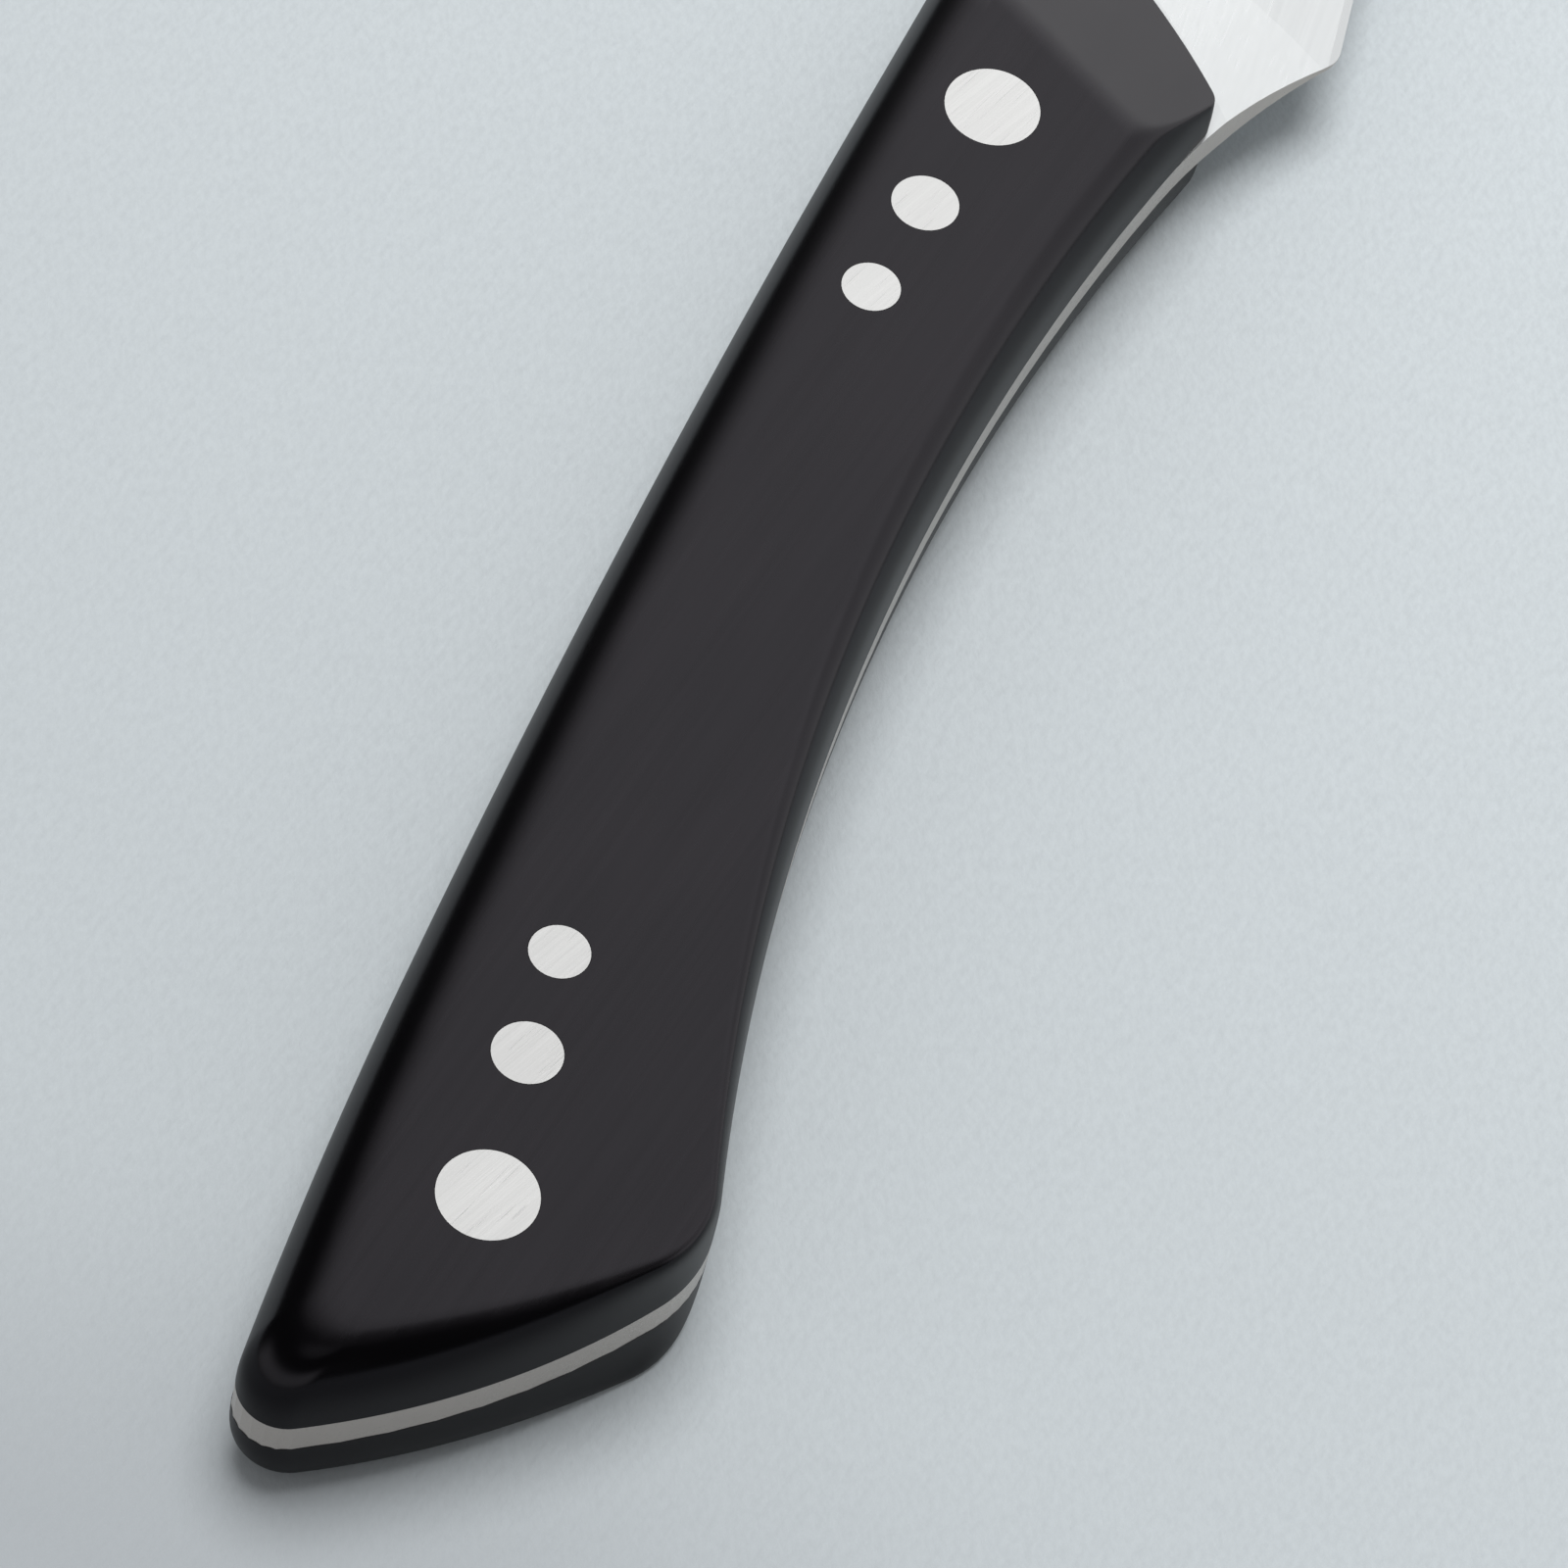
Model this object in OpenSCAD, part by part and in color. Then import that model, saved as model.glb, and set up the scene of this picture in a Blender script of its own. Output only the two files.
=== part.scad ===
// Steak knife: one steel plate with a full tang, two handle scales and six two-part cutlery rivets.
// It lies on its side. +X runs from the butt to the tip, +Y is the spine side and +Z is up.
// Plan sizes are given from the axis of the rear large rivet. The whole knife is then moved so that
// the origin is in the middle of its bounding box, on the surface it lies on.

/* [Steel plate] */
// Thickness of the tang, and of the blade before grinding
plate_t = 2.4; // [1.6:0.1:3.2]

/* [Handle outline] */
// Highest point of the spine, ahead of the rear large rivet
crown_x = 15; // [8:0.5:24]
// Height of the spine over the rear large rivet
crown_y = 10.8; // [10:0.1:12]
// Radius of the spine behind its highest point
rear_spine_r = 430; // [250:10:900]
// Radius of the spine ahead of its highest point
front_spine_r = 1150; // [900:10:1600]
// Length of that curve, up to where the spine runs nearly straight
front_spine_len = 75; // [50:1:95]
// Narrowest point of the handle, as a share of the distance between the large rivets
waist_share = 0.581; // [0.48:0.001:0.65]
// Depth of the belly there, below the rear large rivet
waist_depth = 6.9; // [5.5:0.1:8.5]
// How far over the heel the hollow belly curve would pass if it were carried on
choil_rise = 2.8; // [2:0.1:4.5]
// Distance from the rear large rivet to the slanted butt
butt_reach = 9.2; // [8:0.1:12]
// Direction in which the butt faces, below the line to the rear
butt_slant = 50; // [44:1:56]
// Radius of the butt curve
butt_r = 55; // [40:1:90]
// Rounding where the spine meets the butt
butt_spine_corner_r = 3; // [1:0.1:4]
// Rounding where the butt meets the belly
butt_belly_corner_r = 9; // [5:0.5:12]
// Distance from the front large rivet to the front end of the scales
front_reach = 16.5; // [14:0.1:18]
// Direction in which that nearest part of the front end faces, below the line to the tip
front_slant = 50; // [44:1:54]
// Radius of the front end in plan
front_r = 60; // [40:1:90]
// Rounding where the front end meets the belly
front_belly_corner_r = 2; // [1:0.1:3]
// Rounding where the front end meets the spine
front_spine_corner_r = 2.5; // [1:0.1:4]

/* [Scales] */
// Thickness of one scale
scale_t = 5.6; // [4.5:0.1:7]
// Fullness of the rolled edge round the flat: 2 is an ellipse, and more is fuller
roll_power = 2.8; // [2:0.1:3.2]
// Width of the rolled edge along the spine, from the outline to the flat
spine_roll_w = 4.4; // [2:0.1:4.6]
// Its width at the spine end of the butt
butt_roll_start_w = 3.7; // [1.5:0.1:4.5]
// Its width at the belly end of the butt
butt_roll_end_w = 0.5; // [0.4:0.1:2.5]
// Radius of the flat's edge along the butt
butt_flat_r = 80; // [60:5:200]
// Width of the rolled edge along the belly, at the butt
belly_roll_rear_w = 1; // [0.8:0.1:3]
// Its width at the front end of the belly
belly_roll_front_w = 3; // [1.5:0.1:3.5]
// Radius of the flat's edge along the belly
belly_flat_r = 175; // [165:5:240]
// Rounding of the flat's corner between the spine and the butt
flat_spine_corner_r = 2; // [1:0.1:4]
// Rounding of the flat's corner between the butt and the belly
flat_belly_corner_r = 6; // [3:0.5:9]
// Start of the slope down to the front end, ahead of the front large rivet
front_slope_reach = 7; // [5:0.1:9]
// Steepness of that slope
front_slope_angle = 20; // [10:1:24]
// Direction in which it falls, below the line to the tip
front_slope_face = 30; // [20:1:40]

/* [Rivets] */
// Distance between the two large rivets
rivet_span = 92.9; // [90:0.1:95]
// Radius of the shallow arc that the row of rivets follows
rivet_row_r = 300; // [250:10:600]
// Rear medium rivet, ahead of the rear large one
rear_medium_x = 10.5; // [9:0.1:12]
// Rear small rivet, ahead of the rear large one
rear_small_x = 18.2; // [17:0.1:22]
// Front small rivet, behind the front large one
front_small_back = 17.7; // [16.5:0.1:22]
// Front medium rivet, behind the front large one
front_medium_back = 9.6; // [9:0.1:11]
// Head diameter of the large rivets
large_head_d = 6.4; // [5:0.1:7]
// Head diameter of the medium rivets
medium_head_d = 4.5; // [4:0.1:5]
// Head diameter of the small rivets
small_head_d = 3.9; // [3:0.1:4.4]
// Thickness of a rivet head
head_t = 1.6; // [1:0.1:2.2]
// Clearance all round between a rivet and its hole, and between its pin and its tube
fit_gap = 0.04; // [0.02:0.01:0.08]
// Clearance at the free end of a rivet's pin and of its tube
end_gap = 0.3; // [0.2:0.1:0.6]

/* [Blade] */
// Heel, ahead of the front large rivet
heel_ahead = 20; // [17:0.1:22]
// Heel, below the line through the large rivets
heel_depth = 19.3; // [17:0.1:22]
// Rounding of the heel
heel_r = 2.6; // [1:0.1:3.5]
// Radius of the curve from the belly down to the heel
choil_r = 45; // [25:1:60]
// Angle at which the straight part of the edge rises
edge_angle = 7.5; // [6.5:0.1:8.5]
// Distance from the heel to the tip along the length
blade_len = 110; // [100:1:112]
// Length of the straight part of the edge
straight_edge_len = 66; // [50:1:80]
// Radius of the blade's spine, nearly straight
blade_spine_r = 6000; // [4500:100:9000]
// Plate left at full thickness ahead of the scales
plunge_gap = 1.2; // [0.6:0.1:2]
// Length over which the grind runs out there
plunge_run = 9; // [4:0.5:14]
// Thickness of the ground blade just behind the edge
behind_edge_t = 0.36; // [0.25:0.01:0.6]
// Width of the small bevel that forms the edge
bevel_w = 0.6; // [0.4:0.1:1]
// Thickness of the edge itself
edge_t = 0.04; // [0.02:0.01:0.08]

/* [Hidden] */

STEEL = [0.80, 0.81, 0.83];
RIVET_STEEL = [0.87, 0.88, 0.89];
SCALE_BLACK = [0.14, 0.14, 0.15];

// Facets along each stretch of the handle outline
butt_facets = 8;
corner_facets = 7;
belly_facets = 24;
front_facets = 10;
blade_spine_facets = 5;
front_spine_facets = 14;
rear_spine_facets = 5;
// Layers of the rolled edge
roll_layers = 8;
// Facets along the blade's own curves
choil_facets = 10;
heel_facets = 6;
edge_facets = 24;
blade_outline_facets = 30;
round_facets = 64;
// How far a cutter runs past what it cuts, as a share of the plate's thickness
overrun_share = 0.5;
overrun = plate_t * overrun_share;
// Shank sizes of a rivet, as shares of its head
tube_share = 0.62;
pin_share = 0.36;
// Roundings of the flat's two front corners, as a share of the outline's
flat_front_corner_share = 0.5;

knife_t = plate_t + 2 * scale_t;
mid_z = knife_t / 2;
tang_top_z = scale_t + plate_t;

// Plan geometry of arcs

function heading(a) = [cos(a), sin(a)];
function bearing(v) = atan2(v[1], v[0]);
function unit(v) = v / norm(v);
function quarter_left(v) = [-v[1], v[0]];
function wrap(a) = a - 360 * floor((a + 180) / 360);

// Where two circles meet: left of the line from p to q for way = 1, and right of it for way = -1
function circle_meet(p, p_r, q, q_r, way) =
    let (apart = norm(q - p))
    let (along = (p_r * p_r - q_r * q_r + apart * apart) / (2 * apart))
    let (aside = sqrt(max(0, p_r * p_r - along * along)))
    p + along * unit(q - p) + way * aside * quarter_left(unit(q - p));

// Points from p towards q round a centre, without the last one
function sweep(p, q, centre, facets) =
    let (start = bearing(p - centre), turn = wrap(bearing(q - centre) - bearing(p - centre)))
    [for (i = [0:facets - 1]) centre + norm(p - centre) * heading(start + turn * i / facets)];

// A side of the outline is [centre, radius, bulge]. Its bulge is 1 where the handle lies inside the
// circle and -1 where it lies outside.
function drawn_in(side, inset) = [side[0], side[1] - side[2] * inset, side[2]];
function touch(side, p) = side[0] + side[1] * unit(p - side[0]);
function corner_centre(a, b, r, way) = circle_meet(a[0], a[1] - a[2] * r, b[0], b[1] - b[2] * r, way);

// The flat's edge along a side: an arc of radius r, one roll's width in from the side at both ends
function flat_edge(side, start, start_w, end, end_w, r) =
    let (p = touch(drawn_in(side, start_w), start))
    let (q = touch(drawn_in(side, end_w), end))
    [circle_meet(p, r, q, r, side[2]), r, side[2]];

// A side on the way from the outline to the flat's edge
function side_between(side, flat, share) =
    [side[0] + share * (flat[0] - side[0]), side[1] + share * (flat[1] - side[1]), side[2]];

rear_spine = [[crown_x, crown_y - rear_spine_r], rear_spine_r, 1];
front_spine = [[crown_x, crown_y - front_spine_r], front_spine_r, 1];
crown_heading = [0, 1];
straight_lean = front_spine_len / front_spine_r;
straight_heading = [straight_lean, sqrt(1 - straight_lean * straight_lean)];
blade_spine = [front_spine[0] + (front_spine_r - blade_spine_r) * straight_heading, blade_spine_r, 1];
butt = [(butt_r - butt_reach) * heading(butt_slant), butt_r, 1];
front_rivet = [rivet_span, 0];
heel = front_rivet + [heel_ahead, -heel_depth];
waist = [rivet_span * waist_share, -waist_depth];
belly_run = heel[0] - waist[0];
belly_drop = waist[1] - heel[1] - choil_rise;
belly_r = (belly_run * belly_run + belly_drop * belly_drop) / (2 * belly_drop);
belly = [waist - [0, belly_r], belly_r, -1];
front = [front_rivet - (front_r - front_reach) * heading(-front_slant), front_r, 1];

// Sides in the order rear spine, butt, belly, front end, blade's spine and front spine. Corners in the
// order spine and butt, butt and belly, belly and front end, front end and spine.
outline_sides = [rear_spine, butt, belly, front, blade_spine, front_spine];
outline_corner_r = [
    butt_spine_corner_r, butt_belly_corner_r, front_belly_corner_r, front_spine_corner_r
];
flat_corner_r = [
    flat_spine_corner_r, flat_belly_corner_r,
    front_belly_corner_r * flat_front_corner_share, front_spine_corner_r * flat_front_corner_share
];

function corner_centres(sides, r) = [
    corner_centre(sides[0], sides[1], r[0], 1),
    corner_centre(sides[1], sides[2], r[1], -1),
    corner_centre(sides[2], sides[3], r[2], -1),
    corner_centre(sides[3], sides[4], r[3], 1)
];

corners = corner_centres(outline_sides, outline_corner_r);
flat_sides = [
    drawn_in(rear_spine, spine_roll_w),
    flat_edge(butt, corners[0], butt_roll_start_w, corners[1], butt_roll_end_w, butt_flat_r),
    flat_edge(belly, corners[1], belly_roll_rear_w, corners[2], belly_roll_front_w, belly_flat_r),
    front,
    drawn_in(blade_spine, spine_roll_w),
    drawn_in(front_spine, spine_roll_w)
];

// The closed outline at a share of the way from the tang's outline to the flat's edge.
// It runs from the spine's rear corner over the butt, belly, front end and spine, back to that corner.
function handle_outline(share) =
    let (s = [for (i = [0:len(flat_sides) - 1]) side_between(outline_sides[i], flat_sides[i], share)])
    let (c = corner_centres(s, outline_corner_r + share * (flat_corner_r - outline_corner_r)))
    let (crown = crown_heading * s[5][1] + s[5][0])
    let (straight = straight_heading * s[5][1] + s[5][0])
    concat(
        sweep(touch(s[1], c[0]), touch(s[1], c[1]), s[1][0], butt_facets),
        sweep(touch(s[1], c[1]), touch(s[2], c[1]), c[1], corner_facets),
        sweep(touch(s[2], c[1]), touch(s[2], c[2]), s[2][0], belly_facets),
        sweep(touch(s[2], c[2]), touch(s[3], c[2]), c[2], corner_facets),
        sweep(touch(s[3], c[2]), touch(s[3], c[3]), s[3][0], front_facets),
        sweep(touch(s[3], c[3]), touch(s[4], c[3]), c[3], corner_facets),
        sweep(touch(s[4], c[3]), straight, s[4][0], blade_spine_facets),
        sweep(straight, crown, s[5][0], front_spine_facets),
        sweep(crown, touch(s[0], c[0]), s[0][0], rear_spine_facets),
        sweep(touch(s[0], c[0]), touch(s[1], c[0]), c[0], corner_facets)
    );

// The blade's outline beyond the handle

edge_way = heading(edge_angle);
edge_up = quarter_left(edge_way);
choil_centre = circle_meet(belly[0], belly_r - choil_r, heel, choil_r, 1);
choil_start = belly[0] + belly_r * unit(choil_centre - belly[0]);
// The heel's rounding touches the edge line and the outside of the choil's circle
heel_offset = heel + heel_r * edge_up - choil_centre;
heel_across = heel_offset * edge_up;
heel_along = sqrt(pow(choil_r + heel_r, 2) - pow(heel_across, 2));
heel_centre = choil_centre + heel_along * edge_way + heel_across * edge_up;
heel_start = choil_centre + choil_r * unit(heel_centre - choil_centre);
heel_end = heel_centre - heel_r * edge_up;
tip_x = heel[0] + blade_len;
tip = [tip_x, blade_spine[0][1] + sqrt(pow(blade_spine_r, 2) - pow(tip_x - blade_spine[0][0], 2))];
curve_start = heel + straight_edge_len * edge_way;
tip_along = (tip - curve_start) * edge_way;
tip_above = (tip - curve_start) * edge_up;
edge_curve_r = (pow(tip_along, 2) + pow(tip_above, 2)) / (2 * tip_above);
edge_curve_centre = curve_start + edge_curve_r * edge_up;
edge_curve_angle = asin(tip_along / edge_curve_r);

spine_straight = front_spine[0] + front_spine_r * straight_heading;
spine_crown = front_spine[0] + front_spine_r * crown_heading;

plate_outline = concat(
    sweep(touch(butt, corners[0]), touch(butt, corners[1]), butt[0], butt_facets),
    sweep(touch(butt, corners[1]), touch(belly, corners[1]), corners[1], corner_facets),
    sweep(touch(belly, corners[1]), choil_start, belly[0], belly_facets),
    sweep(choil_start, heel_start, choil_centre, choil_facets),
    sweep(heel_start, heel_end, heel_centre, heel_facets),
    [heel_end],
    sweep(curve_start, tip, edge_curve_centre, edge_facets),
    sweep(tip, spine_straight, blade_spine[0], blade_outline_facets),
    sweep(spine_straight, spine_crown, front_spine[0], front_spine_facets),
    sweep(spine_crown, touch(rear_spine, corners[0]), rear_spine[0], rear_spine_facets),
    sweep(touch(rear_spine, corners[0]), touch(butt, corners[0]), corners[0], corner_facets)
);

plate_low = [min([for (p = plate_outline) p[0]]), min([for (p = plate_outline) p[1]])];
plate_high = [max([for (p = plate_outline) p[0]]), max([for (p = plate_outline) p[1]])];
plate_mid = (plate_low + plate_high) / 2;

// Moves a piece from the plan's own origin to the middle of the knife's box
module placed() {
    translate([-plate_mid[0], -plate_mid[1], 0])
        children();
}

// Rivets

// Each row is [distance along the handle, head diameter]
rivets = [
    [0, large_head_d],
    [rear_medium_x, medium_head_d],
    [rear_small_x, small_head_d],
    [rivet_span - front_small_back, small_head_d],
    [rivet_span - front_medium_back, medium_head_d],
    [rivet_span, large_head_d]
];

function row_height(x) = sqrt(pow(rivet_row_r, 2) - pow(x - rivet_span / 2, 2));
function rivet_place(rivet) = [rivet[0], row_height(rivet[0]) - row_height(0), 0];
function tube_d(rivet) = rivet[1] * tube_share;
function pin_d(rivet) = rivet[1] * pin_share;

module upright(d, from_z, to_z) {
    translate([0, 0, from_z])
        cylinder(d = d, h = to_z - from_z, $fn = round_facets);
}

// Half with the solid pin: its head lies in the upper scale
module rivet_pin(rivet) {
    color(RIVET_STEEL)
        placed()
        translate(rivet_place(rivet))
        union() {
            upright(rivet[1], knife_t - head_t, knife_t);
            upright(pin_d(rivet), head_t + end_gap, knife_t - head_t);
        }
}

// Half with the tube: its head lies in the lower scale, and the tube takes the pin
module rivet_tube(rivet) {
    color(RIVET_STEEL)
        placed()
        translate(rivet_place(rivet))
        difference() {
            union() {
                upright(rivet[1], 0, head_t);
                upright(tube_d(rivet), head_t, knife_t - head_t - end_gap);
            }
            upright(pin_d(rivet) + 2 * fit_gap, head_t, knife_t);
        }
}

// Bores for every rivet's tube, and the wider seats for its heads above and below
module rivet_bores() {
    for (rivet = rivets)
        translate(rivet_place(rivet))
            upright(tube_d(rivet) + 2 * fit_gap, -overrun, knife_t + overrun);
}

module head_seats() {
    for (rivet = rivets)
        translate(rivet_place(rivet)) {
            upright(rivet[1] + 2 * fit_gap, knife_t - head_t, knife_t + overrun);
            upright(rivet[1] + 2 * fit_gap, -overrun, head_t);
        }
}

// Handle scale

// The rolled edge is a quarter of a superellipse: upright at the tang and level at the flat
function layer_height(i) = scale_t * pow(sin(90 * i / roll_layers), 2 / roll_power);
function roll_share(i) = 1 - pow(cos(90 * i / roll_layers), 2 / roll_power);

scale_rings = [for (i = [0:roll_layers])
    [for (p = handle_outline(roll_share(i))) [p[0], p[1], layer_height(i)]]];
slope_cut_w = 3 * front_reach;
ring_count = len(scale_rings);
ring_size = len(scale_rings[0]);
butt_middle = butt_facets / 2;

function ring_index(layer, i) = layer * ring_size + (i + ring_size) % ring_size;

// Triangles of the wall between one ring and the next
function wall_faces(layer) = [for (i = [0:ring_size - 1]) each [
    [ring_index(layer, i), ring_index(layer + 1, i), ring_index(layer + 1, i + 1)],
    [ring_index(layer, i), ring_index(layer + 1, i + 1), ring_index(layer, i + 1)]
]];

// Triangles across a ring, from the belly side to the spine side, starting at the middle of the butt
function cap_faces(layer) =
    let (s = butt_middle, half = ring_size / 2)
    concat(
        [for (i = [0:half - 2])
            [ring_index(layer, s + i), ring_index(layer, s - i - 1), ring_index(layer, s + i + 1)]],
        [for (i = [1:half - 1])
            [ring_index(layer, s + i), ring_index(layer, s - i), ring_index(layer, s - i - 1)]]
    );

function turned(faces) = [for (f = faces) [f[2], f[1], f[0]]];

// A scale with its tang side at height 0 and its flat at scale_t, and its front end still upright
module rolled_form() {
    polyhedron(
        points = [for (ring = scale_rings) each ring],
        faces = concat(
            turned(cap_faces(0)),
            [for (layer = [0:ring_count - 2]) each wall_faces(layer)],
            cap_faces(ring_count - 1)
        )
    );
}

// What the flat slope at the front end takes away
module front_slope() {
    translate([rivet_span, 0, scale_t])
        rotate([0, 0, -front_slope_face])
        translate([front_slope_reach, 0, 0])
        rotate([0, front_slope_angle, 0])
        translate([0, -slope_cut_w / 2, 0])
        cube([slope_cut_w, slope_cut_w, scale_t]);
}

module scale_body() {
    difference() {
        rolled_form();
        front_slope();
    }
}

module upper_scale() {
    color(SCALE_BLACK)
        placed()
        difference() {
            translate([0, 0, tang_top_z])
                scale_body();
            rivet_bores();
            head_seats();
        }
}

module lower_scale() {
    color(SCALE_BLACK)
        placed()
        difference() {
            translate([0, 0, scale_t])
                mirror([0, 0, 1])
                scale_body();
            rivet_bores();
            head_seats();
        }
}

// Blade

// The flat grind takes the plate from full thickness at the spine to its thickness behind the edge.
// Its level lines run along the straight edge, so the blade also thins towards the tip.
plunge_r = front_r + plunge_gap;
plunge_top = circle_meet(front[0], plunge_r, blade_spine[0], blade_spine_r, 1);
grind_reach = (plunge_top - heel) * edge_up;
grind_slope = (plate_t - behind_edge_t) / 2 / grind_reach;
grind_angle = atan(grind_slope);
plunge_slope = plunge_run / ((plate_t - behind_edge_t) / 2);
bevel_slope = grind_slope + (behind_edge_t - edge_t) / 2 / bevel_w;
bevel_angle = atan(bevel_slope);
cut_len = blade_len + front_r;
cut_w = 2 * heel_depth + 2 * crown_y;
bevel_low_z = edge_t / 2 - bevel_slope * overrun;
bevel_high_z = plate_t / 2 + overrun;
bevel_reach = (bevel_high_z - edge_t / 2) / bevel_slope;

// Everything above the plane that rises from the edge line at an angle, with z = 0 at the plate's middle
module above_plane(edge_z, angle, back, ahead) {
    translate([heel[0], heel[1], 0])
        rotate([0, 0, edge_angle])
        translate([-back, 0, edge_z])
        rotate([angle, 0, 0])
        translate([0, -overrun, 0])
        cube([back + ahead, cut_w, plate_t]);
}

// The grind runs out on a cone that follows the front end of the scales
module flat_grind() {
    difference() {
        above_plane(behind_edge_t / 2, grind_angle, front_r, cut_len);
        translate([front[0][0], front[0][1], 0])
            cylinder(
                r1 = plunge_r + plunge_slope * plate_t / 2,
                r2 = plunge_r - plunge_slope * overrun,
                h = plate_t / 2 + overrun,
                $fn = 4 * round_facets
            );
    }
}

// The edge bevel, along the straight edge and then round the curved one
module edge_bevel() {
    above_plane(edge_t / 2, bevel_angle, overrun, straight_edge_len);
    translate([edge_curve_centre[0], edge_curve_centre[1], 0])
        rotate([0, 0, edge_angle - 90])
        rotate_extrude(angle = 2 * edge_curve_angle, $fn = 4 * round_facets)
        polygon([
            [edge_curve_r + overrun, bevel_low_z],
            [edge_curve_r + overrun, bevel_high_z],
            [edge_curve_r - bevel_reach, bevel_high_z]
        ]);
}

module blade() {
    color(STEEL)
        placed()
        difference() {
            translate([0, 0, scale_t])
                linear_extrude(plate_t)
                polygon(plate_outline);
            rivet_bores();
            for (side = [0, 1])
                translate([0, 0, mid_z])
                    mirror([0, 0, side]) {
                        flat_grind();
                        edge_bevel();
                    }
        }
}

blade();
upper_scale();
lower_scale();
rivet_pin(rivets[0]);  // rear_large_rivet_pin
rivet_tube(rivets[0]);  // rear_large_rivet_tube
rivet_pin(rivets[1]);  // rear_medium_rivet_pin
rivet_tube(rivets[1]);  // rear_medium_rivet_tube
rivet_pin(rivets[2]);  // rear_small_rivet_pin
rivet_tube(rivets[2]);  // rear_small_rivet_tube
rivet_pin(rivets[3]);  // front_small_rivet_pin
rivet_tube(rivets[3]);  // front_small_rivet_tube
rivet_pin(rivets[4]);  // front_medium_rivet_pin
rivet_tube(rivets[4]);  // front_medium_rivet_tube
rivet_pin(rivets[5]);  // front_large_rivet_pin
rivet_tube(rivets[5]);  // front_large_rivet_tube
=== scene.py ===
"""Steak knife: its finishes, the studio it lies in and the camera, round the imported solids.

Places are in metres in the part's own frame: +X runs from the butt to the tip, +Y is the spine
side, +Z is up, and the origin is in the middle of the knife's box, on the floor. Plan sizes of the
handle are in millimetres from the axis of the rear large rivet, as the knife's source gives them.
"""

import sys
import logging
import math
from dataclasses import dataclass, field
from enum import Enum
from typing import Any, Callable, Dict, List, Mapping, Optional, Sequence, Tuple, Union

import bmesh
import bpy
import numpy as np
from mathutils import Matrix, Vector, geometry


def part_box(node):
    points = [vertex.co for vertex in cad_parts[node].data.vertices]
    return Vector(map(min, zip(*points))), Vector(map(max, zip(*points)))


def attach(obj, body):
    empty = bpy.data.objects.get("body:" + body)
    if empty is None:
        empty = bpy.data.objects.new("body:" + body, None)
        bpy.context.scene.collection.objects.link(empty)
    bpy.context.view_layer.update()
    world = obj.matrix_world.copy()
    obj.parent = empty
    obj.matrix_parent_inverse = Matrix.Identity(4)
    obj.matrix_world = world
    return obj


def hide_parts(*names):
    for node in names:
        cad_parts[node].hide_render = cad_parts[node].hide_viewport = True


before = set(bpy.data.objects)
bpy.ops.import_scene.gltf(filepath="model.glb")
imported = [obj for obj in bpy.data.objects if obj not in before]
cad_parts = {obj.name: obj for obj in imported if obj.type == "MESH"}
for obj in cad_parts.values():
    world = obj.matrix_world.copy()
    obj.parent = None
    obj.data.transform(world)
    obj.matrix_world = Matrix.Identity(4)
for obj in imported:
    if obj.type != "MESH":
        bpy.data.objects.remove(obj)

LOG = logging.getLogger("knife")
MM = 0.001

# The middle of a noise's values
NOISE_MIDDLE = 0.5
# Blender's numbers for the sockets of a Mix node that mixes colours
MIX_FACTOR, MIX_FIRST, MIX_SECOND, MIX_RESULT = 0, 6, 7, 2
# Stands for the rise of a level edge, so that it can be divided by
LEVEL_RISE = 1e-12
# Blender's number for a triangulation that covers the whole hull of its points
WHOLE_HULL = 0
# Plan points this near, in millimetres, are one
PLAN_TOLERANCE = 1e-7
# Vertices this near are one, and edges this short are dropped, in metres
SEAM = 2e-7
SLIVER = 1e-7

Array = np.ndarray
Colour = Tuple[float, float, float]
Triple = Tuple[float, float, float]
Pair = Tuple[float, float]
Span = Tuple[float, float]
Number = Union["Socket", float, int]
Paint = Union["Socket", Colour]


class Side(Enum):
    """The two faces of the tang, as the way in which a scale stands off it."""

    UPPER = 1
    LOWER = -1


class Reading(Enum):
    """What a pattern reads, by Blender's names. WAY is the way looked in, for the world."""

    PLACE = "Object"
    FACING = "Normal"
    WAY = "Generated"


class Ray(Enum):
    """The kinds of ray that the room tells apart, by Blender's names."""

    CAMERA = "Is Camera Ray"
    GLOSSY = "Is Glossy Ray"


# Shader nodes


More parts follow.
